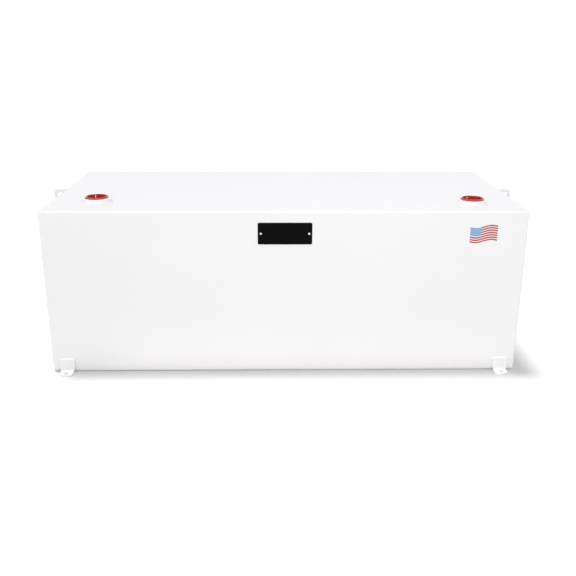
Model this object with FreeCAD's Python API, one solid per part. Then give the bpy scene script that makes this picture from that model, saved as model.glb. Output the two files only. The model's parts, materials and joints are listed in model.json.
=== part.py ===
import FreeCAD, Part
import math
import os

from FreeCAD import Vector

# Rectangular steel transfer tank for a truck bed, in millimetres.
# The origin is on the floor under the middle of the tank. +X runs along the long side to the
# right as seen from the front, the front wall faces -Y and +Z is up.

# Tank body: one folded sheet closed by a pressed pan at each end
tank_length = 1219.2
tank_depth = 558.8
tank_height = 431.8
sheet = 1.9
bend_inside = 4.5
panel_flange = 25.0

# Corner welds between the folded sheet and the end pans
end_weld_proud = 0.35
end_weld_land = 1.2

# Long seam that closes the folded sheet, on the back wall
seam_height = 120.0
seam_gap = 1.6
seam_cap_width = 7.0
seam_cap_height = 1.0

# Surge baffles inside the tank
baffle_spacing = 406.4
baffle_flange = 20.0
baffle_bend_inside = 2.5
baffle_notch_radius = 45.0
baffle_hole_diameter = 100.0
baffle_hole_spacing = 220.0

# Pipe bungs welded into the top wall
left_bung_from_end = 122.0
left_bung_from_front = 116.0
right_bung_from_end = 122.0
right_bung_from_front = 94.0
bung_collar_diameter = 76.0
bung_collar_height = 10.0
bung_spigot_diameter = 70.0
bung_spigot_below = 12.0
bung_edge_chamfer = 1.2
bung_mouth_chamfer = 0.8
bung_weld_leg = 3.0
pipe_taper = 1.0 / 16.0

# Hollow plastic plugs screwed into the bungs
plug_diameter = 60.5
plug_running_gap = 0.3
plug_thread_below_mouth = 2.5
plug_rim_diameter = 56.6
plug_rim_proud = 3.5
plug_length = 23.5
plug_wall = 3.2
plug_floor = 3.0
plug_rim_chamfer = 0.8
plug_tip_chamfer = 1.5
plug_rib_count = 6
plug_rib_width = 2.4
plug_rib_reach = 2.4
plug_rib_below_rim = 2.5
plug_rib_start_angle = 50.0
plug_hub_diameter = 14.0
plug_hub_height = 1.5

# Mounting feet: bent flat bar, one near each end of the front and back walls
foot_width = 34.0
foot_thickness = 4.0
foot_bend_inside = 3.0
foot_from_end = 38.5
foot_reach = 33.0
foot_leg_height = 33.5
foot_hole_diameter = 9.0
foot_hole_reach = 21.0
foot_outer_corner = 14.0
foot_inner_corner = 5.5
foot_leg_corner = 6.0
foot_weld_leg = 4.5

# Lifting lugs: one flat plate on each end pan
lug_thickness = 6.4
lug_reach = 33.0
lug_height = 60.0
lug_below_top = 1.5
lug_eye_diameter = 22.0
lug_eye_reach = 16.0
lug_eye_down = 18.5
lug_outer_corner = 10.0
lug_outer_edge = 40.0
lug_foot_reach = 12.0
lug_small_corner = 3.0
lug_weld_leg = 4.0
lug_weld_below_top = 10.0

# Nameplate on the front wall and the two studs that hold it
nameplate_width = 136.0
nameplate_height = 55.5
nameplate_thickness = 0.9
nameplate_corner = 3.5
nameplate_below_top = 57.4
stud_diameter = 3.2
stud_head_diameter = 5.6
stud_head_height = 1.1
stud_spacing = 121.0

# Waving striped decal on the front wall
decal_width = 69.0
decal_height = 39.2
decal_film = 0.15
decal_from_end = 111.0
decal_below_top = 59.0
decal_wave_rise = 4.2
decal_wave_length = 80.0
decal_wave_low_point = 14.3
decal_wave_steps = 8

bend_outside = bend_inside + sheet
half_length = tank_length / 2
half_depth = tank_depth / 2
wrap_half = half_length - bend_inside
front_face = -half_depth
back_face = half_depth
top_inside = tank_height - sheet
nameplate_centre = tank_height - nameplate_below_top
decal_centre = tank_height - decal_below_top


# Planes that an outline is drawn on
def across_length(x):
    return lambda y, z: Vector(x, y, z)


def across_depth(y):
    return lambda x, z: Vector(x, y, z)


# Closed wire through corners given as (u, v, radius), with an arc at each rounded corner
def rounded_wire(corners, plane):
    points = [Vector(u, v, 0) for u, v, radius in corners]
    arcs = []
    for index, (u, v, radius) in enumerate(corners):
        here = points[index]
        back = (points[index - 1] - here).normalize()
        ahead = (points[(index + 1) % len(points)] - here).normalize()
        half_angle = back.getAngle(ahead) / 2
        cut = radius / math.tan(half_angle)
        inward = (back + ahead).normalize()
        middle = here + inward * (radius / math.sin(half_angle) - radius)
        arcs.append([plane(p.x, p.y) for p in (here + back * cut, middle, here + ahead * cut)])
    edges = []
    for index, (start, middle, end) in enumerate(arcs):
        if corners[index][2] > 0:
            edges.append(Part.Arc(start, middle, end).toShape())
        following = arcs[(index + 1) % len(arcs)][0]
        if end.distanceToPoint(following) > 1e-6:
            edges.append(Part.makeLine(end, following))
    return Part.Wire(edges)


def plate(corners, plane, sweep):
    return Part.Face(rounded_wire(corners, plane)).extrude(sweep)


def rectangle(low_u, high_u, low_v, high_v, radius=0):
    return [(low_u, low_v, radius), (high_u, low_v, radius),
            (high_u, high_v, radius), (low_u, high_v, radius)]


def cylinder(diameter, base, direction, height):
    return Part.makeCylinder(diameter / 2, height, base, direction)


# Solid of revolution about a vertical axis from corners given as (radius, height)
def turned(corners, centre_x, centre_y):
    points = [Vector(radius, 0, height) for radius, height in corners]
    face = Part.Face(Part.makePolygon(points + [points[0]]))
    solid = face.revolve(Vector(0, 0, 0), Vector(0, 0, 1), 360)
    solid.translate(Vector(centre_x, centre_y, 0))
    return solid


def edges_where(shape, wanted):
    return [edge for edge in shape.Edges if wanted(edge)]


def runs_along(edge, axis):
    start, end = edge.firstVertex().Point, edge.lastVertex().Point
    return (end - start).normalize().cross(axis).Length < 1e-6


# Box across the tank, set in by an inset from every wall and rounded on its long edges and
# around the face at its right-hand end
def rounded_block(low_x, high_x, inset, radius):
    size = Vector(high_x - low_x, tank_depth - 2 * inset, tank_height - 2 * inset)
    block = Part.makeBox(size.x, size.y, size.z, Vector(low_x, front_face + inset, inset))
    along = Vector(1, 0, 0)
    rounded = edges_where(block, lambda e: runs_along(e, along) or e.CenterOfMass.x > high_x - 1e-6)
    return block.makeFillet(radius, rounded)


def section(inset, radius):
    return rectangle(front_face + inset, back_face - inset, inset, tank_height - inset, radius)


def mirrored_left(shape):
    return shape.mirror(Vector(0, 0, 0), Vector(1, 0, 0))


def mirrored_back(shape):
    return shape.mirror(Vector(0, 0, 0), Vector(0, 1, 0))


def bung_places():
    left = Vector(left_bung_from_end - half_length, front_face + left_bung_from_front, 0)
    right = Vector(half_length - right_bung_from_end, front_face + right_bung_from_front, 0)
    return {"left": left, "right": right}


# The folded sheet: front, top, back and bottom walls in one piece, open at the seam
def tank_wrap():
    length = Vector(2 * wrap_half, 0, 0)
    outside = plate(section(0, bend_outside), across_length(-wrap_half), length)
    inside = plate(section(sheet, bend_inside), across_length(-wrap_half), length)
    wrap = outside.cut(inside)
    slit = Part.makeBox(2 * wrap_half, 3 * sheet, seam_gap,
                        Vector(-wrap_half, back_face - 2 * sheet, seam_height - seam_gap / 2))
    wrap = wrap.cut(slit)
    for place in bung_places().values():
        base = Vector(place.x, place.y, top_inside - sheet)
        wrap = wrap.cut(cylinder(bung_spigot_diameter, base, Vector(0, 0, 1), 3 * sheet))
    return wrap


# Bead along the seam: a root that fills the gap and a low crowned cap outside
def seam_weld():
    root = [(back_face - sheet, seam_height - seam_gap / 2),
            (back_face, seam_height - seam_gap / 2),
            (back_face, seam_height - seam_cap_width / 2)]
    crown = (back_face + seam_cap_height, seam_height)
    head = [(back_face, seam_height + seam_cap_width / 2),
            (back_face, seam_height + seam_gap / 2),
            (back_face - sheet, seam_height + seam_gap / 2)]
    plane = across_length(-wrap_half)
    low = [plane(*point) for point in root]
    high = [plane(*point) for point in head]
    arc = Part.Arc(low[-1], plane(*crown), high[0]).toShape()
    edges = list(Part.makePolygon(low).Edges) + [arc] + list(Part.makePolygon(high + [low[0]]).Edges)
    return Part.Face(Part.Wire(edges)).extrude(Vector(2 * wrap_half, 0, 0))


# Pressed pan that closes the right-hand end, its flange turned into the wrap
def end_panel_block():
    return rounded_block(half_length - panel_flange, half_length, sheet, bend_inside)


def end_panel():
    hollow = rounded_block(half_length - 2 * panel_flange, half_length - sheet,
                           2 * sheet, bend_inside - sheet)
    return end_panel_block().cut(hollow)


# Outside corner bead that rounds the end of the tank, between the wrap and the pan
def end_weld():
    envelope = rounded_block(half_length - panel_flange, half_length + end_weld_proud,
                             0, bend_outside)
    inner_end = plate(section(-sheet, 0), across_length(0), Vector(wrap_half, 0, 0))
    window = plate(section(bend_outside + end_weld_land, end_weld_land), across_length(wrap_half),
                   Vector(2 * panel_flange, 0, 0))
    return envelope.cut(inner_end).cut(end_panel_block()).cut(window).cut(lifting_lug())


# Flanged surge plate with two holes and a flow notch at each corner
def baffle(centre_x, flange_side):
    outer_bend = baffle_bend_inside + sheet
    depth, height = tank_depth - 2 * sheet, tank_height - 2 * sheet
    body = Part.makeBox(baffle_flange, depth, height, Vector(0, front_face + sheet, sheet))
    body = body.makeFillet(outer_bend, edges_where(body, lambda e: e.CenterOfMass.x < 1e-6))
    hollow = Part.makeBox(baffle_flange, depth - 2 * sheet, height - 2 * sheet,
                          Vector(sheet, front_face + 2 * sheet, 2 * sheet))
    corners = edges_where(hollow, lambda e: e.CenterOfMass.x < sheet + 1e-6)
    body = body.cut(hollow.makeFillet(baffle_bend_inside, corners))
    along = Vector(1, 0, 0)
    for y in (front_face + sheet, back_face - sheet):
        for z in (sheet, tank_height - sheet):
            notch = cylinder(2 * baffle_notch_radius, Vector(-sheet, y, z), along, 2 * baffle_flange)
            body = body.cut(notch)
    for side in (-1, 1):
        base = Vector(-sheet, side * baffle_hole_spacing / 2, tank_height / 2)
        body = body.cut(cylinder(baffle_hole_diameter, base, along, 2 * baffle_flange))
    if flange_side < 0:
        body = mirrored_left(body)
    body.translate(Vector(centre_x, 0, 0))
    return body


def collar_top():
    return tank_height + bung_collar_height


def bore_radius(height):
    mouth = plug_diameter / 2 + plug_running_gap
    return mouth - (collar_top() - height) * pipe_taper / 2


# Stepped bung: a collar that sits on the top wall and a spigot through it, bored on a taper
def bung(place):
    tip = top_inside - bung_spigot_below
    top = collar_top()
    mouth = top - bung_mouth_chamfer
    spigot, collar = bung_spigot_diameter / 2, bung_collar_diameter / 2
    corners = [(bore_radius(tip), tip), (spigot, tip), (spigot, tank_height), (collar, tank_height),
               (collar, top - bung_edge_chamfer), (collar - bung_edge_chamfer, top),
               (bore_radius(top) + bung_mouth_chamfer, top), (bore_radius(mouth), mouth)]
    return turned(corners, place.x, place.y)


def bung_weld(place):
    radius = bung_collar_diameter / 2
    corners = [(radius, tank_height), (radius + bung_weld_leg, tank_height),
               (radius, tank_height + bung_weld_leg)]
    return turned(corners, place.x, place.y)


# Hollow plug: a tapered thread body with a smooth rim above it and grip ribs inside its cup
def plug(place):
    top = collar_top() + plug_rim_proud
    tip = top - plug_length
    shoulder = tip + plug_tip_chamfer
    thread_top = collar_top() - plug_thread_below_mouth
    outer = lambda height: bore_radius(height) - plug_running_gap
    rim_radius = plug_rim_diameter / 2
    run_out = thread_top + outer(thread_top) - rim_radius
    cup_radius = rim_radius - plug_wall
    cup_floor = tip + plug_floor
    rim_edge = top - plug_rim_chamfer
    corners = [(0, tip), (outer(shoulder) - plug_tip_chamfer, tip), (outer(shoulder), shoulder),
               (outer(thread_top), thread_top), (rim_radius, run_out), (rim_radius, rim_edge),
               (rim_radius - plug_rim_chamfer, top), (cup_radius + plug_rim_chamfer, top),
               (cup_radius, rim_edge), (cup_radius, cup_floor), (0, cup_floor)]
    body = turned(corners, 0, 0)
    rib_top = top - plug_rib_below_rim
    rib = Part.makeBox(plug_rib_reach + plug_wall / 2, plug_rib_width, rib_top - tip,
                       Vector(cup_radius - plug_rib_reach, -plug_rib_width / 2, tip))
    rib = rib.cut(cylinder(2 * cup_radius, Vector(0, 0, tip), Vector(0, 0, 1), plug_floor))
    for index in range(plug_rib_count):
        angle = plug_rib_start_angle + 360 / plug_rib_count * index
        turned_rib = rib.copy()
        turned_rib.rotate(Vector(0, 0, 0), Vector(0, 0, 1), angle)
        body = body.fuse(turned_rib)
    hub = cylinder(plug_hub_diameter, Vector(0, 0, cup_floor), Vector(0, 0, 1), plug_hub_height)
    body = body.fuse(hub).removeSplitter()
    body.translate(Vector(place.x, place.y, 0))
    return body


def foot_centre():
    return Vector(half_length - foot_from_end, front_face, 0)


# Bent foot at the front right: a leg against the wall and a flange with a bolt hole
def foot():
    outer_bend = foot_bend_inside + foot_thickness
    inner_bend = foot_bend_inside
    half = foot_width / 2
    plane = across_length(-half)
    diagonal = math.sqrt(0.5)
    centre_y, centre_z = -outer_bend, outer_bend
    outer_middle = plane(centre_y + outer_bend * diagonal, centre_z - outer_bend * diagonal)
    inner_middle = plane(centre_y + inner_bend * diagonal, centre_z - inner_bend * diagonal)
    edges = [
        Part.makeLine(plane(-foot_reach, 0), plane(-outer_bend, 0)),
        Part.Arc(plane(-outer_bend, 0), outer_middle, plane(0, outer_bend)).toShape(),
        Part.makeLine(plane(0, outer_bend), plane(0, foot_leg_height)),
        Part.makeLine(plane(0, foot_leg_height), plane(-foot_thickness, foot_leg_height)),
        Part.makeLine(plane(-foot_thickness, foot_leg_height), plane(-foot_thickness, outer_bend)),
        Part.Arc(plane(-foot_thickness, outer_bend), inner_middle,
                 plane(-outer_bend, foot_thickness)).toShape(),
        Part.makeLine(plane(-outer_bend, foot_thickness), plane(-foot_reach, foot_thickness)),
        Part.makeLine(plane(-foot_reach, foot_thickness), plane(-foot_reach, 0)),
    ]
    bar = Part.Face(Part.Wire(edges)).extrude(Vector(foot_width, 0, 0))
    front = lambda e: runs_along(e, Vector(0, 0, 1)) and e.CenterOfMass.y < -foot_reach + 1e-3
    bar = bar.makeFillet(foot_outer_corner,
                         edges_where(bar, lambda e: front(e) and e.CenterOfMass.x > 0))
    bar = bar.makeFillet(foot_inner_corner,
                         edges_where(bar, lambda e: front(e) and e.CenterOfMass.x < 0))
    head = lambda e: runs_along(e, Vector(0, 1, 0)) and e.CenterOfMass.z > foot_leg_height - 1e-3
    bar = bar.makeFillet(foot_leg_corner, edges_where(bar, head))
    base = Vector(0, -foot_hole_reach, -foot_thickness)
    bar = bar.cut(cylinder(foot_hole_diameter, base, Vector(0, 0, 1), 3 * foot_thickness))
    bar.translate(foot_centre())
    return bar


# Fillet weld around a plate that stands on a wall: a skirt that narrows away from the wall
def weld_skirt(wall_outline, wall_plane, raised_outline, raised_plane, pieces):
    wires = [rounded_wire(wall_outline, wall_plane), rounded_wire(raised_outline, raised_plane)]
    return Part.makeLoft(wires, True, True).cut(pieces)


def foot_weld():
    centre = foot_centre()
    low = foot_bend_inside + foot_thickness

    def outline(grow):
        half = foot_width / 2 + grow
        corner = foot_leg_corner + grow
        return [(centre.x - half, low, 0), (centre.x + half, low, 0),
                (centre.x + half, foot_leg_height + grow, corner),
                (centre.x - half, foot_leg_height + grow, corner)]

    return weld_skirt(outline(foot_weld_leg), across_depth(front_face),
                      outline(0), across_depth(front_face - foot_weld_leg), foot())


# Lug on the right-hand pan: an upright plate with an eye, clipped below
def lifting_lug():
    top = tank_height - lug_below_top
    wall = half_length
    corners = [(wall, top, 0), (wall + lug_reach, top, lug_outer_corner),
               (wall + lug_reach, top - lug_outer_edge, lug_small_corner),
               (wall + lug_foot_reach, top - lug_height, lug_small_corner),
               (wall, top - lug_height, 0)]
    lug = plate(corners, across_depth(-lug_thickness / 2), Vector(0, lug_thickness, 0))
    base = Vector(wall + lug_eye_reach, -lug_thickness, top - lug_eye_down)
    return lug.cut(cylinder(lug_eye_diameter, base, Vector(0, 1, 0), 2 * lug_thickness))


def lug_weld():
    low = tank_height - lug_below_top - lug_height
    high = tank_height - lug_weld_below_top

    def outline(grow):
        half = lug_thickness / 2 + grow
        return [(-half, low - grow, 0), (half, low - grow, 0), (half, high, 0), (-half, high, 0)]

    return weld_skirt(outline(lug_weld_leg), across_length(half_length),
                      outline(0), across_length(half_length + lug_weld_leg), lifting_lug())


def stud_places():
    return [Vector(side * stud_spacing / 2, front_face, nameplate_centre)
            for side in (-1, 1)]


def nameplate():
    half_w, half_h = nameplate_width / 2, nameplate_height / 2
    corners = rectangle(-half_w, half_w, nameplate_centre - half_h,
                        nameplate_centre + half_h, nameplate_corner)
    body = plate(corners, across_depth(front_face), Vector(0, -nameplate_thickness, 0))
    for place in stud_places():
        body = body.cut(cylinder(stud_diameter, place, Vector(0, -1, 0), 2 * nameplate_thickness))
    return body


# Two studs fixed to the wall, each with a domed head over the nameplate
def nameplate_studs():
    outward = Vector(0, -1, 0)
    head_radius = stud_head_diameter / 2
    ball_radius = (head_radius ** 2 + stud_head_height ** 2) / (2 * stud_head_height)
    studs = []
    for place in stud_places():
        shank = cylinder(stud_diameter, place, outward, nameplate_thickness)
        seat = place + outward * nameplate_thickness
        ball = Part.makeSphere(ball_radius, seat - outward * (ball_radius - stud_head_height))
        head = ball.common(cylinder(stud_head_diameter, seat, outward, 2 * stud_head_height))
        studs.append(shank.fuse(head).removeSplitter())
    return Part.makeCompound(studs)


# Height of the decal's wave above its middle line, at a distance from its left edge
def wave(distance):
    phase = 2 * math.pi * (distance - decal_wave_low_point) / decal_wave_length
    return -decal_wave_rise * math.cos(phase)


def decal():
    left = half_length - decal_from_end - decal_width / 2
    plane = across_depth(front_face)

    def edge_points(height):
        middle = decal_centre + height
        steps = [decal_width * index / decal_wave_steps for index in range(decal_wave_steps + 1)]
        return [plane(left + step, middle + wave(step)) for step in steps]

    low, high = edge_points(-decal_height / 2), edge_points(decal_height / 2)
    low_edge, high_edge = Part.BSplineCurve(), Part.BSplineCurve()
    low_edge.interpolate(low)
    high_edge.interpolate(high)
    edges = [low_edge.toShape(), Part.makeLine(low[-1], high[-1]),
             high_edge.toShape(), Part.makeLine(high[0], low[0])]
    return Part.Face(Part.Wire(edges)).extrude(Vector(0, -decal_film, 0))


def all_pieces():
    right = {"end_panel": end_panel(), "end_weld": end_weld(),
             "lifting_lug": lifting_lug(), "lug_weld": lug_weld()}
    pieces = {"tank_wrap": tank_wrap(), "seam_weld": seam_weld()}
    for name, shape in right.items():
        pieces[name + "_right"] = shape
        pieces[name + "_left"] = mirrored_left(shape)
    for side, name in ((-1, "left"), (1, "right")):
        pieces["baffle_" + name] = baffle(side * baffle_spacing / 2, side)
    for name, place in bung_places().items():
        pieces["bung_" + name] = bung(place)
        pieces["bung_weld_" + name] = bung_weld(place)
        pieces["plug_" + name] = plug(place)
    for kind, shape in (("foot", foot()), ("foot_weld", foot_weld())):
        pieces[kind + "_front_right"] = shape
        pieces[kind + "_front_left"] = mirrored_left(shape)
        pieces[kind + "_back_right"] = mirrored_back(shape)
        pieces[kind + "_back_left"] = mirrored_back(mirrored_left(shape))
    pieces["nameplate"] = nameplate()
    pieces["nameplate_studs"] = nameplate_studs()
    pieces["striped_decal"] = decal()
    return pieces


os.makedirs("parts", exist_ok=True)
for node, shape in all_pieces().items():
    shape.exportStep("parts/" + node + ".step")
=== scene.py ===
import json
import math

import bmesh
import bpy
from mathutils import Matrix, Vector


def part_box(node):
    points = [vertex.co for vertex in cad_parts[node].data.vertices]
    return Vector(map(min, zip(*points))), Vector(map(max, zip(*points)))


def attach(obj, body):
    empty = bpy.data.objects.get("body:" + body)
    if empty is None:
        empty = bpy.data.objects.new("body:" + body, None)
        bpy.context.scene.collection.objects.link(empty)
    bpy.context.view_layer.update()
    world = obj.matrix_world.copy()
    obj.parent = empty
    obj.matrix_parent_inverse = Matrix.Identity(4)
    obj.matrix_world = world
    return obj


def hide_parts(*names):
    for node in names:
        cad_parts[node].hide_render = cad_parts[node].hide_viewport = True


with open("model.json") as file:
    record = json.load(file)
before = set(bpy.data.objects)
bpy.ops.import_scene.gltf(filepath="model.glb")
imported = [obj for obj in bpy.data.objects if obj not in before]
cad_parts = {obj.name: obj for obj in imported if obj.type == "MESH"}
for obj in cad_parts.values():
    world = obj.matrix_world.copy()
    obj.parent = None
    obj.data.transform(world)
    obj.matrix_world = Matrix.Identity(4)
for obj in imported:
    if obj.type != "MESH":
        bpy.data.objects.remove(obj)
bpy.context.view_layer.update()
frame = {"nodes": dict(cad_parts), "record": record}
nodes = frame["nodes"]
mm = 0.001
tiny = 1e-6
sides = ("left", "right")

# the tank's outer faces, read from the folded sheet
wrapLow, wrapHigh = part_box("tank_wrap")
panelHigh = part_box("end_panel_right")[1]
tankEnd = panelHigh.x
frontY, backY, topZ = wrapLow.y, wrapHigh.y, wrapHigh.z
sheet = topZ - panelHigh.z
foldRadius = 6.4 * mm
print("frame loaded, tank", round(tankEnd * 2, 4), "m long")


# a round node's centre, outer radius, foot and top
def roundBox(node):
    low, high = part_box(node)
    return (low + high) / 2, (high.x - low.x) / 2, low.z, high.z


# small helpers for node materials; uniform holds what is the same all over the surface
def freshMaterial(name, uniform=None):
    material = bpy.data.materials.new(name)
    material.use_nodes = True
    tree = material.node_tree
    shader = tree.nodes["Principled BSDF"]
    for key, value in (uniform or {}).items():
        shader.inputs[key].default_value = value
    return material, tree, shader


# links a socket where the value is one, and otherwise sets its number or colour
def feed(tree, socket, value):
    if isinstance(value, bpy.types.NodeSocket):
        tree.links.new(value, socket)
    else:
        socket.default_value = value


def addNode(tree, kind, inputs=None, **settings):
    node = tree.nodes.new(kind)
    for key, value in settings.items():
        setattr(node, key, value)
    for key, value in (inputs or {}).items():
        feed(tree, node.inputs[key], value)
    return node


def compute(tree, operation, first, second):
    return addNode(tree, "ShaderNodeMath", {0: first, 1: second}, operation=operation).outputs[0]


def vectorMath(tree, operation, *values):
    return addNode(tree, "ShaderNodeVectorMath", dict(enumerate(values)), operation=operation)


def blendColour(tree, factor, first, second):
    inputs = {0: factor, 6: first, 7: second}
    return addNode(tree, "ShaderNodeMix", inputs, data_type="RGBA").outputs[2]


def noise(tree, point, scale, detail, roughness=0.5):
    inputs = {"Vector": point, "Scale": scale, "Detail": detail, "Roughness": roughness}
    return addNode(tree, "ShaderNodeTexNoise", inputs).outputs["Fac"]


def ramp(tree, factor, low, high, fromMin=0.3, fromMax=0.7):
    inputs = {"Value": factor, "From Min": fromMin, "From Max": fromMax, "To Min": low, "To Max": high}
    return addNode(tree, "ShaderNodeMapRange", inputs).outputs["Result"]


def noiseBump(tree, point, noiseSpec, depth, strength, under=None):
    inputs = {"Height": noise(tree, point, *noiseSpec), "Distance": depth, "Strength": strength}
    if under is not None:
        inputs["Normal"] = under
    return addNode(tree, "ShaderNodeBump", inputs).outputs["Normal"]


# 1 inside the tank's walls, 0 outside, split in the middle of the sheet; the edges are rounded
def insideMask(tree, point):
    half = (tankEnd - foldRadius, backY - foldRadius, topZ / 2 - foldRadius)
    offset = vectorMath(tree, "SUBTRACT", point, (0, 0, topZ / 2)).outputs[0]
    mirrored = vectorMath(tree, "ABSOLUTE", offset).outputs[0]
    past = vectorMath(tree, "SUBTRACT", mirrored, half).outputs[0]
    outer = vectorMath(tree, "MAXIMUM", past, (0, 0, 0)).outputs[0]
    reach = vectorMath(tree, "LENGTH", outer).outputs["Value"]
    return compute(tree, "LESS_THAN", reach, foldRadius - sheet / 2)


# in the finishes a noise is (scale, detail, roughness) and a bump is (depth, strength)
powderCoat = {
    "white": (0.84, 0.827, 0.83, 1), "shade": (0.82, 0.808, 0.812, 1), "cloudNoise": (4.0, 3.0),
    "grainNoise": (140.0, 3.0), "roughness": (0.3, 0.4),
    "mill": (0.33, 0.32, 0.31, 1), "millLight": (0.42, 0.41, 0.4, 1), "millNoise": (30.0, 6.0, 0.65),
    "millRoughness": 0.48,
    "warpNoise": (2.6, 1.0), "warpBump": (1.6 * mm, 0.6),
    "peelNoise": (420.0, 2.0), "peelBump": (0.05 * mm, 0.5),
    "uniform": {"Coat Weight": 0.25, "Coat Roughness": 0.18},
}


# white paint outside the tank and bare mill steel inside it
def makePowderCoat():
    spec = powderCoat
    material, tree, shader = freshMaterial("whitePowderCoat", spec["uniform"])
    point = addNode(tree, "ShaderNodeTexCoord").outputs["Object"]
    inside = insideMask(tree, point)
    outside = compute(tree, "SUBTRACT", 1.0, inside)
    cloud = ramp(tree, noise(tree, point, *spec["cloudNoise"]), 0.0, 1.0)
    coat = blendColour(tree, cloud, spec["white"], spec["shade"])
    scale = ramp(tree, noise(tree, point, *spec["millNoise"]), 0.0, 1.0)
    mill = blendColour(tree, scale, spec["mill"], spec["millLight"])
    feed(tree, shader.inputs["Base Color"], blendColour(tree, inside, coat, mill))
    grain = ramp(tree, noise(tree, point, *spec["grainNoise"]), *spec["roughness"])
    outer = compute(tree, "MULTIPLY", grain, outside)
    inner = compute(tree, "MULTIPLY", inside, spec["millRoughness"])
    feed(tree, shader.inputs["Roughness"], compute(tree, "ADD", outer, inner))
    feed(tree, shader.inputs["Metallic"], inside)
    warp = noiseBump(tree, point, spec["warpNoise"], *spec["warpBump"])
    peel = noiseBump(tree, point, spec["peelNoise"], *spec["peelBump"], warp)
    feed(tree, shader.inputs["Normal"], peel)
    return material


bareSteel = {
    "colours": ((0.42, 0.415, 0.405, 1), (0.3, 0.295, 0.29, 1)), "colourNoise": (22.0, 6.0, 0.65),
    "grainNoise": (60.0, 4.0), "roughness": (0.38, 0.55),
    "bumpNoise": (500.0, 3.0), "bump": (0.04 * mm, 0.5),
    "uniform": {"Metallic": 1.0},
}
redPlastic = {
    "colours": ((0.54, 0.043, 0.034, 1), (0.42, 0.028, 0.022, 1)), "colourNoise": (90.0, 3.0),
    "grainNoise": (260.0, 2.0), "roughness": (0.16, 0.26),
    "bumpNoise": (700.0, 2.0), "bump": (0.03 * mm, 0.4),
    "uniform": {"Subsurface Weight": 0.08, "Subsurface Scale": 2.0 * mm, "Coat Weight": 0.3,
                "Coat Roughness": 0.1},
}
blackPlate = {
    "colours": ((0.001, 0.001, 0.0014, 1), (0.003, 0.003, 0.0035, 1)), "colourNoise": (900.0, 2.0),
    "colourRange": (0.45, 0.75),
    "grainNoise": (70.0, 4.0), "roughness": (0.3, 0.42),
    "bumpNoise": (1200.0, 2.0), "bump": (0.02 * mm, 0.5),
    "uniform": {"Specular IOR Level": 0.06},
}
studAluminium = {
    "grainNoise": (800.0, 3.0), "roughness": (0.22, 0.36),
    "bumpNoise": (1500.0, 2.0), "bump": (0.02 * mm, 0.5),
    "uniform": {"Base Color": (0.86, 0.86, 0.87, 1), "Metallic": 1.0},
}


# a finish that drifts between two colours, with an uneven gloss and a fine bump
def makeFinish(name, spec):
    material, tree, shader = freshMaterial(name, spec.get("uniform"))
    point = addNode(tree, "ShaderNodeTexCoord").outputs["Object"]
    if "colours" in spec:
        drift = ramp(tree, noise(tree, point, *spec["colourNoise"]), 0.0, 1.0,
                     *spec.get("colourRange", ()))
        feed(tree, shader.inputs["Base Color"], blendColour(tree, drift, *spec["colours"]))
    grain = ramp(tree, noise(tree, point, *spec["grainNoise"]), *spec["roughness"])
    feed(tree, shader.inputs["Roughness"], grain)
    if "bump" in spec:
        feed(tree, shader.inputs["Normal"], noiseBump(tree, point, spec["bumpNoise"], *spec["bump"]))
    return material


paint = makePowderCoat()
plastic = makeFinish("glossRedPlastic", redPlastic)
slotMaterials = {"white_paint": paint, "bare_steel": makeFinish("millSteel", bareSteel),
                 "red_plastic": plastic, "black_plate": makeFinish("blackPlate", blackPlate),
                 "stud_metal": makeFinish("studAluminium", studAluminium)}


def dressNodes():
    for row in frame["record"]["subparts"]:
        material = slotMaterials.get(row["material_slot"])
        if material is None:
            continue
        mesh = nodes[row["node"]].data
        if not mesh.materials:
            mesh.materials.append(material)
        for index in range(len(mesh.materials)):
            mesh.materials[index] = material


dressNodes()
print("materials made and CAD nodes dressed")


# turns a bmesh or a mesh into an object at the origin, parents it to its body's empty and hides the
# CAD nodes it replaces
def addPiece(name, mesh, materials, body, replaced=(), sharpAngle=35):
    if isinstance(mesh, bmesh.types.BMesh):
        built = bpy.data.meshes.new(name)
        mesh.to_mesh(built)
        mesh.free()
        mesh = built
    for material in materials:
        mesh.materials.append(material)
    mesh.shade_smooth()
    mesh.set_sharp_from_angle(angle=math.radians(sharpAngle))
    piece = bpy.data.objects.new(name, mesh)
    bpy.context.scene.collection.objects.link(piece)
    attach(piece, body)
    if replaced:
        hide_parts(*replaced)


# points along an arc, its angles in degrees
def arc(centre, radius, start, end, count=4):
    turns = [math.radians(start + (end - start) * step / count) for step in range(count + 1)]
    return [(centre[0] + radius * math.cos(t), centre[1] + radius * math.sin(t)) for t in turns]


# spins a profile of (radius, height) points about a vertical axis into a closed skin
def spinProfile(profile, steps, closed):
    work = bmesh.new()
    points = [work.verts.new((radius, 0, height)) for radius, height in profile]
    pairs = list(zip(points, points[1:])) + ([(points[-1], points[0])] if closed else [])
    edges = [work.edges.new(pair) for pair in pairs]
    bmesh.ops.spin(work, geom=points + edges, cent=(0, 0, 0), axis=(0, 0, 1),
                   angle=math.tau, steps=steps, use_merge=True)
    bmesh.ops.remove_doubles(work, verts=work.verts, dist=tiny)
    bmesh.ops.recalc_face_normals(work, faces=work.faces)
    return work


# 0 up to the start, 1 from the end on
def fade(value, start, end):
    return max(0.0, min(1.0, (value - start) / (end - start)))


# crest and root are shares of half a pitch
pipeThread = {"pitch": 2.209 * mm, "depth": 1.35 * mm, "taper": 1 / 32, "rowsPerPitch": 8,
              "crest": 0.12, "root": 0.88, "runIn": 1.0 * mm}


# heights along a thread, close enough together to carry its groove
def threadRows(start, end):
    rows = int(abs(end - start) / pipeThread["pitch"] * pipeThread["rowsPerPitch"])
    return [start + (end - start) * row / rows for row in range(rows + 1)]


# depth of the thread's groove, 0 at the crest and 1 at the root
def threadGroove(height, angle):
    phase = (height / pipeThread["pitch"] - angle / math.tau) % 1.0
    return fade(abs(phase - 0.5) * 2, pipeThread["crest"], pipeThread["root"])


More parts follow.
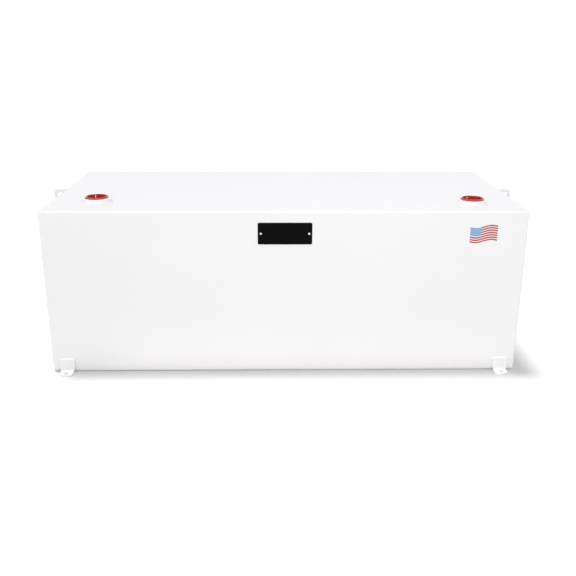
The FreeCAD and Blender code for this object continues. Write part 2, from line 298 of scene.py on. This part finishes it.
# 1 along the thread, falling to 0 at its lower and upper end
def threadEnds(height, low, high, runOut):
    return min(fade(height, low, low + pipeThread["runIn"]), fade(-height, -high, runOut - high))


def pushRadius(vert, factor):
    vert.co.x *= factor
    vert.co.y *= factor


# the dimple in the hub is (upper radius, lower radius, depth); ringShares are shares of the cup
plugLook = {
    "steps": 240, "sharpAngle": 40, "wall": 3.2 * mm, "wallRows": 10,
    "rimRadius": 28.3 * mm, "rimRound": 0.8 * mm, "shoulder": 0.3 * mm, "shoulderRise": 0.2 * mm,
    "threadBelowMouth": 2.5 * mm, "threadRunOut": 1.5 * mm, "tipChamfer": 1.5 * mm,
    "skirtClear": 2.0 * mm,
    "floor": 3.0 * mm, "floorRound": 1.2 * mm, "ringShares": (0.8, 0.76, 0.72), "ringRise": 0.4 * mm,
    "hubRadius": 7.0 * mm, "hubHeight": 1.5 * mm, "hubFlank": 0.4 * mm,
    "dimple": (0.8 * mm, 0.6 * mm, 0.5 * mm),
    "ribs": 6, "ribAngle": 50.0, "ribHalfWidth": 2.5, "ribFlank": 0.8,
    "ribReach": 2.4 * mm, "ribBelowRim": 1.2 * mm, "ribRise": 9.0 * mm, "ribFoot": 1.32 * mm,
}


# half the plug's section: up the threaded skirt, over the rim, down the cup and in to the hub
def plugProfile(widest, tip, top, skirtLow, skirtTop):
    spec = plugLook
    rim, lip, bend = spec["rimRadius"], spec["rimRound"], spec["floorRound"]
    cup, floor = rim - spec["wall"], tip + spec["floor"]
    cone = [(widest - (skirtTop - z) * pipeThread["taper"], z)
            for z in [tip] + threadRows(skirtLow, skirtTop)]
    shoulder = skirtTop + widest - rim
    wallTop, rows = top - lip, spec["wallRows"]
    hub, hubTop = spec["hubRadius"], floor + spec["hubHeight"]
    upper, lower, depth = spec["dimple"]
    ring = [cup * share for share in spec["ringShares"]]
    profile = [(0, tip), (cone[0][0] - spec["tipChamfer"], tip)] + cone[1:]
    profile += [(rim + spec["shoulder"], shoulder - spec["shoulder"]),
                (rim, shoulder + spec["shoulderRise"])]
    profile += arc((rim - lip, wallTop), lip, 0, 90)
    profile += arc((cup + lip, wallTop), lip, 90, 180)
    profile += [(cup, wallTop - (wallTop - floor - bend) * row / rows) for row in range(1, rows + 1)]
    profile += arc((cup - bend, floor + bend), bend, 0, -90)[1:]
    profile += [(ring[0], floor), (ring[1], floor + spec["ringRise"]), (ring[2], floor)]
    profile += [(hub + spec["hubFlank"], floor), (hub, hubTop), (upper, hubTop)]
    profile += [(lower, hubTop - depth), (0, hubTop - depth)]
    return profile


def plugPiece(side):
    spec = plugLook
    centre, widest, tip, top = roundBox("plug_" + side)
    cup, floor = spec["rimRadius"] - spec["wall"], tip + spec["floor"]
    skirtLow = tip + spec["tipChamfer"]
    skirtTop = roundBox("bung_" + side)[3] - spec["threadBelowMouth"]
    skirtInner = cup + spec["skirtClear"]  # the thread's vertices lie outside this radius
    ribInner = cup - spec["ribFoot"]  # the cup's wall and the rounding at its foot
    ribTop = top - spec["ribBelowRim"]
    spacing = 360 / spec["ribs"]
    work = spinProfile(plugProfile(widest, tip, top, skirtLow, skirtTop), spec["steps"], False)
    for vert in work.verts:
        radius, angle = math.hypot(vert.co.x, vert.co.y), math.atan2(vert.co.y, vert.co.x)
        z = vert.co.z
        if radius > skirtInner and skirtLow - tiny <= z <= skirtTop + tiny:
            ends = threadEnds(z, skirtLow, skirtTop, spec["threadRunOut"])
            moved = radius - pipeThread["depth"] * ends * threadGroove(z, angle)
            pushRadius(vert, moved / radius)
        elif radius > ribInner and floor - tiny <= z < ribTop + tiny:
            gap = (math.degrees(angle) - spec["ribAngle"] + spacing / 2) % spacing
            off = abs(gap - spacing / 2)
            crest = 1 - fade(off, spec["ribHalfWidth"], spec["ribHalfWidth"] + spec["ribFlank"])
            moved = radius - spec["ribReach"] * crest * fade(ribTop - z, 0, spec["ribRise"])
            pushRadius(vert, moved / radius)
    bmesh.ops.translate(work, verts=work.verts, vec=(centre.x, centre.y, 0))
    addPiece("screwPlug_" + side, work, [plastic], "plug_" + side, ["plug_" + side],
             spec["sharpAngle"])


bungLook = {"steps": 192, "sharpAngle": 30, "edgeRound": 1.2 * mm, "mouthChamfer": 0.8 * mm,
            "gap": 0.3 * mm, "spigotRadius": 35.0 * mm, "threadRunOut": 1.0 * mm}


def bungPiece(side):
    spec = bungLook
    centre, collar, low, high = roundBox("bung_" + side)
    widest = roundBox("plug_" + side)[1] + spec["gap"]
    mouth = widest + plugLook["threadBelowMouth"] * pipeThread["taper"]
    boreTop = high - spec["mouthChamfer"]

    def bore(z):
        return mouth - (high - z) * pipeThread["taper"]

    edge = spec["edgeRound"]
    profile = [(spec["spigotRadius"], low), (spec["spigotRadius"], topZ), (collar, topZ)]
    profile += arc((collar - edge, high - edge), edge, 0, 90)
    profile += [(bore(high) + spec["mouthChamfer"], high)]
    profile += [(bore(z), z) for z in threadRows(boreTop, low)]
    work = spinProfile(profile, spec["steps"], True)
    for vert in work.verts:
        radius, angle = math.hypot(vert.co.x, vert.co.y), math.atan2(vert.co.y, vert.co.x)
        z = vert.co.z
        if radius < bore(boreTop) + tiny and low < z < boreTop:
            ends = threadEnds(z, low, boreTop, spec["threadRunOut"])
            moved = radius + pipeThread["depth"] * ends * (1 - threadGroove(z, angle))
            pushRadius(vert, moved / radius)
    bmesh.ops.translate(work, verts=work.verts, vec=(centre.x, centre.y, 0))
    addPiece("threadedBung_" + side, work, [paint], "tank", ["bung_" + side],
             spec["sharpAngle"])


for side in sides:
    plugPiece(side)
    bungPiece(side)
print("threaded plugs and bungs made")


# each puddle of weld metal swells and shrinks the bead, and two slow waves drift along it, each
# given as (height, rate, start)
beadRipple = {"step": 0.9 * mm, "puddle": 2.6 * mm, "depth": 0.07, "sides": 3, "sharpAngle": 60,
              "drift": ((0.03, 0.137, 0.0), (0.02, 0.041, 1.3))}


# points at even steps along a path
def resample(points, step, cyclic):
    loop = points + [points[0]] if cyclic else points
    placed, carry = [], 0.0
    for start, end in zip(loop, loop[1:]):
        length = (end - start).length
        at = carry
        while at < length:
            placed.append(start.lerp(end, at / length))
            at += step
        carry = at - length
    if not cyclic:
        placed.append(loop[-1])
    return placed


# a bead of weld metal: a rippled tube along a path, which squeeze can flatten
def beadPiece(name, points, radius, replaced=(), cyclic=False, calm=1.0, squeeze=None):
    spec = beadRipple
    path = resample(points, spec["step"], cyclic)
    curve = bpy.data.curves.new(name, "CURVE")
    curve.dimensions = "3D"
    curve.bevel_depth = radius
    curve.bevel_resolution = spec["sides"]
    curve.use_fill_caps = True
    spline = curve.splines.new("POLY")
    spline.points.add(len(path) - 1)
    spline.use_cyclic_u = cyclic
    for index, point in enumerate(path):
        wave = (index * spec["step"] / spec["puddle"]) % 1.0
        drift = sum(height * math.sin(index * rate + start) for height, rate, start in spec["drift"])
        spline.points[index].co = (*point, 1)
        spline.points[index].radius = 1 + calm * (spec["depth"] * (wave - 0.5) + drift)
    holder = bpy.data.objects.new(name, curve)
    bpy.context.scene.collection.objects.link(holder)
    bpy.context.view_layer.update()
    mesh = bpy.data.meshes.new_from_object(holder.evaluated_get(bpy.context.evaluated_depsgraph_get()))
    bpy.data.objects.remove(holder)
    bpy.data.curves.remove(curve)
    if squeeze is not None:
        mesh.transform(squeeze)
    addPiece(name, mesh, [paint], "tank", replaced, spec["sharpAngle"])


bungBeadLook = {"radius": 2.05 * mm, "out": 0.85 * mm, "steps": 180}


def bungBead(side):
    spec = bungBeadLook
    centre, collar = roundBox("bung_" + side)[:2]
    ring = arc((centre.x, centre.y), collar + spec["out"], 0, 360, spec["steps"])[:-1]
    path = [Vector((x, y, topZ + spec["out"])) for x, y in ring]
    beadPiece("bungBead_" + side, path, spec["radius"], ["bung_weld_" + side], cyclic=True)


footBeadLook = {"radius": 3.1 * mm, "out": 1.2 * mm, "corner": 6.0 * mm, "cornerSteps": 8}


def footBead(end, side):
    spec = footBeadLook
    which = end + "_" + side
    low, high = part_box("foot_" + which)
    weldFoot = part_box("foot_weld_" + which)[0].z
    wall, outward = (frontY, -1) if end == "front" else (backY, 1)
    out, turn, steps = spec["out"], spec["corner"] + spec["out"], spec["cornerSteps"]
    leftX, rightX, topLeg = low.x - out, high.x + out, high.z + out
    outline = [(leftX, weldFoot)]
    outline += arc((leftX + turn, topLeg - turn), turn, 180, 90, steps)
    outline += arc((rightX - turn, topLeg - turn), turn, 90, 0, steps)
    outline += [(rightX, weldFoot)]
    path = [Vector((x, wall + outward * out, z)) for x, z in outline]
    beadPiece("footBead_" + which, path, spec["radius"], ["foot_weld_" + which])


lugBeadLook = {"radius": 2.6 * mm, "out": 1.0 * mm, "cutAcross": 1.0 * mm, "cutUp": 2.0 * mm}


def lugBead(side):
    spec = lugBeadLook
    low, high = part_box("lifting_lug_" + side)
    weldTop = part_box("lug_weld_" + side)[1].z
    wall = (tankEnd + spec["out"]) * (1 if side == "right" else -1)
    half, foot = (high.y - low.y) / 2 + spec["out"], low.z - spec["out"]
    inner, up = half - spec["cutAcross"], foot + spec["cutUp"]
    outline = [(-half, weldTop), (-half, up), (-inner, foot)]
    outline += [(inner, foot), (half, up), (half, weldTop)]
    path = [Vector((wall, y, z)) for y, z in outline]
    beadPiece("lugBead_" + side, path, spec["radius"], ["lug_weld_" + side])


seamLook = {"width": 7.0 * mm, "height": 1.0 * mm}


def seamBead():
    spec = seamLook
    low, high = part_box("seam_weld")
    path = [Vector((low.x, 0, 0)), Vector((high.x, 0, 0))]
    flat = Matrix.Diagonal((1, 2 * spec["height"] / spec["width"], 1, 1))
    squeeze = Matrix.Translation((0, backY, (low.z + high.z) / 2)) @ flat
    beadPiece("seamBead", path, spec["width"] / 2, squeeze=squeeze)


endBeadLook = {"centre": 4.85 * mm, "radius": 4.7 * mm, "corner": 2.0 * mm, "proud": 0.3 * mm,
               "calm": 0.3}


def endBead(side):
    spec = endBeadLook
    inset, turn = spec["centre"], spec["corner"]
    x = (tankEnd - inset + spec["proud"]) * (1 if side == "right" else -1)
    low, high = frontY + inset + turn, backY - inset - turn
    foot, head = inset + turn, topZ - inset - turn
    outline = arc((high, head), turn, 0, 90)
    outline += arc((low, head), turn, 90, 180)
    outline += arc((low, foot), turn, 180, 270)
    outline += arc((high, foot), turn, 270, 360)
    path = [Vector((x, y, z)) for y, z in outline]
    beadPiece("endBead_" + side, path, spec["radius"], ["end_weld_" + side], cyclic=True,
              calm=spec["calm"])


for side in sides:
    bungBead(side)
    lugBead(side)
    endBead(side)
    for end in ("front", "back"):
        footBead(end, side)
seamBead()
print("weld beads made")


# the decal: a wavy grid, thirteen bands high, with a plain blue field at its upper left
decalLook = {"bands": 13, "columns": 44, "fieldBands": 7, "fieldColumns": 17, "film": 0.15 * mm,
             "rise": 4.2 * mm, "wave": 80.0 * mm, "lowPoint": 14.3 * mm}
decalInk = {"red": (0.36, 0.024, 0.036, 1), "white": (0.87, 0.67, 0.64, 1),
            "blue": (0.24, 0.41, 0.7, 1), "faded": 0.88, "colourNoise": (1600.0, 1.0),
            "grainNoise": (300.0, 2.0), "roughness": (0.34, 0.46)}


def makeInk(name):
    colour = decalInk[name]
    faded = tuple(part * decalInk["faded"] for part in colour[:3]) + (1,)
    return makeFinish("decal" + name.capitalize(), {**decalInk, "colours": (colour, faded)})


def decalPiece():
    spec = decalLook
    low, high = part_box("striped_decal")
    width = high.x - low.x
    height = (high.z - low.z) - 2 * spec["rise"]
    work = bmesh.new()
    bmesh.ops.create_grid(work, x_segments=spec["columns"], y_segments=spec["bands"], size=0.5)
    for face in work.faces:
        spot = face.calc_center_median()
        band = int((0.5 - spot.y) * spec["bands"])
        column = int((spot.x + 0.5) * spec["columns"])
        inField = band < spec["fieldBands"] and column < spec["fieldColumns"]
        face.material_index = 2 if inField else band % 2  # red, white, blue
    middle = (low.z + high.z) / 2
    for vert in work.verts:
        along = (vert.co.x + 0.5) * width
        rise = -spec["rise"] * math.cos(math.tau * (along - spec["lowPoint"]) / spec["wave"])
        vert.co = (low.x + along, frontY, middle + vert.co.y * height + rise)
    bmesh.ops.recalc_face_normals(work, faces=work.faces)
    if sum(face.normal.y for face in work.faces) > 0:
        bmesh.ops.reverse_faces(work, faces=work.faces)
    bmesh.ops.solidify(work, geom=work.faces, thickness=spec["film"])
    proud = frontY - max(vert.co.y for vert in work.verts)
    bmesh.ops.translate(work, verts=work.verts, vec=(0, proud, 0))
    inks = [makeInk(name) for name in ("red", "white", "blue")]
    addPiece("wavingDecal", work, inks, "tank", ["striped_decal"])


decalPiece()
print("decal made")


floorLook = {"half": 60.0, "uniform": {"Base Color": (0.94, 0.94, 0.94, 1), "Roughness": 0.75,
                                       "Specular IOR Level": 0.2}}


# a pale studio floor
def studioFloor():
    work = bmesh.new()
    bmesh.ops.create_grid(work, x_segments=1, y_segments=1, size=floorLook["half"])
    mesh = bpy.data.meshes.new("studioFloor")
    work.to_mesh(mesh)
    work.free()
    mesh.materials.append(freshMaterial("paleFloor", floorLook["uniform"])[0])
    floor = bpy.data.objects.new("studioFloor", mesh)
    bpy.context.scene.collection.objects.link(floor)


# found from the tank's corners in the photograph
cameraLook = {"place": (-0.0289, -2.1035, 0.852), "pitch": 18.794, "yaw": -1.16, "roll": 0.234,
              "lens": 47.13, "sensor": 36.0}


def photoCamera():
    spec = cameraLook
    pitch, yaw, roll = (math.radians(spec[key]) for key in ("pitch", "yaw", "roll"))
    forward = Vector((-math.sin(yaw) * math.cos(pitch), math.cos(yaw) * math.cos(pitch),
                      -math.sin(pitch)))
    level = Vector((math.cos(yaw), math.sin(yaw), 0))
    up = level.cross(forward)
    right = math.cos(roll) * level + math.sin(roll) * up
    up = right.cross(forward)
    data = bpy.data.cameras.new("photoCamera")
    data.lens = spec["lens"]
    data.sensor_width = spec["sensor"]
    camera = bpy.data.objects.new("photoCamera", data)
    bpy.context.scene.collection.objects.link(camera)
    turn = Matrix((right, up, -forward)).transposed().to_4x4()
    camera.matrix_world = Matrix.Translation(spec["place"]) @ turn
    bpy.context.scene.camera = camera


# two far lights: the key for the tank, and one for the floor, which draws the tank's shadow
keyLight = {"from": (-0.12, -0.14, 1.0), "angle": 16.0, "strength": 1.62,
            "colour": (0.94, 0.985, 1.03)}
floorLight = {"from": (-0.13, 0.112, 1.0), "angle": 9.5, "strength": 1.78,
              "colour": (0.97, 0.985, 1.0)}
# a soft panel in front, and a low strip that stands for light coming back off the floor
frontPanel = {"shape": "ELLIPSE", "place": (0.15, -1.2, 1.0), "aim": (0.05, -0.28, 0.3),
              "size": (0.4, 0.4), "power": 2.2, "colour": (1.0, 0.96, 0.94)}
lowPanel = {"shape": "RECTANGLE", "place": (0.1, -0.38, 0.02), "aim": (0.1, -0.28, 0.02),
            "size": (1.1, 0.04), "power": 0.07, "colour": (1.0, 0.98, 0.97)}
# a reflector card that brightens the collars of the bungs alone
collarCard = {"shape": "RECTANGLE", "place": (0.0, -1.35, 0.78), "aim": (0.0, -0.18, 0.437),
              "size": (1.5, 0.3), "power": 2.6, "colour": (0.98, 0.99, 1.0)}
# a small lamp for each plug, where the sloping rib at its upper left mirrors it towards the camera
glintLamp = {"shape": "ELLIPSE", "left": (0.15, -1.43, 0.91), "right": (1.68, -1.02, 0.78),
             "size": (0.14, 0.14), "power": 2.0, "colour": (1.0, 1.0, 1.0), "mirrored": True}


def placeLight(data, place, toward):
    light = bpy.data.objects.new(data.name, data)
    bpy.context.scene.collection.objects.link(light)
    turn = (Vector(toward) - Vector(place)).to_track_quat("-Z", "Y").to_matrix().to_4x4()
    light.matrix_world = Matrix.Translation(place) @ turn
    return light


def farLight(name, spec):
    data = bpy.data.lights.new(name, "SUN")
    data.angle = math.radians(spec["angle"])
    data.energy = spec["strength"]
    data.color = spec["colour"]
    return placeLight(data, spec["from"], (0, 0, 0))


def panelLight(name, spec):
    data = bpy.data.lights.new(name, "AREA")
    data.shape = spec["shape"]
    data.size, data.size_y = spec["size"]
    data.energy = spec["power"]
    data.color = spec["colour"]
    light = placeLight(data, spec["place"], spec["aim"])
    light.visible_camera = False
    light.visible_glossy = spec.get("mirrored", False)
    return light


# makes a light reach the named objects alone, or all but them
def linkLight(light, names, state):
    lit = bpy.data.collections.new(light.name + "Lit")
    for name in names:
        lit.objects.link(bpy.data.objects[name])
    for item in lit.collection_objects:
        item.light_linking.link_state = state
    light.light_linking.receiver_collection = lit


def addLights():
    linkLight(farLight("keyLight", keyLight), ["studioFloor"], "EXCLUDE")
    linkLight(farLight("floorLight", floorLight), ["studioFloor"], "INCLUDE")
    linkLight(panelLight("frontPanel", frontPanel), ["studioFloor"], "EXCLUDE")
    linkLight(panelLight("lowPanel", lowPanel), ["studioFloor"], "EXCLUDE")
    collars = [piece + side for piece in ("threadedBung_", "bungBead_") for side in sides]
    linkLight(panelLight("collarCard", collarCard), collars, "INCLUDE")
    for side in sides:
        lamp = {**glintLamp, "place": glintLamp[side], "aim": roundBox("plug_" + side)[0]}
        linkLight(panelLight("glint_" + side, lamp), ["screwPlug_" + side], "INCLUDE")


# a studio that is white round the horizon and dimmer overhead, where the key light is
studioSky = {"low": (1.035, 1.015, 1.01, 1), "high": (0.45, 0.46, 0.47, 1), "lowTop": 0.22,
             "highFrom": 0.72}


def paintStudio():
    spec = studioSky
    world = bpy.data.worlds.new("studioWorld")
    world.use_nodes = True
    tree = world.node_tree
    direction = addNode(tree, "ShaderNodeTexCoord").outputs["Generated"]
    height = addNode(tree, "ShaderNodeSeparateXYZ", {"Vector": direction}).outputs["Z"]
    climb = ramp(tree, height, 0.0, 1.0, spec["lowTop"], spec["highFrom"])
    sky = blendColour(tree, climb, spec["low"], spec["high"])
    feed(tree, tree.nodes["Background"].inputs["Color"], sky)
    bpy.context.scene.world = world
    bpy.context.scene.view_settings.view_transform = "Standard"


studioFloor()
photoCamera()
paintStudio()
addLights()
print("floor, camera and lights set")
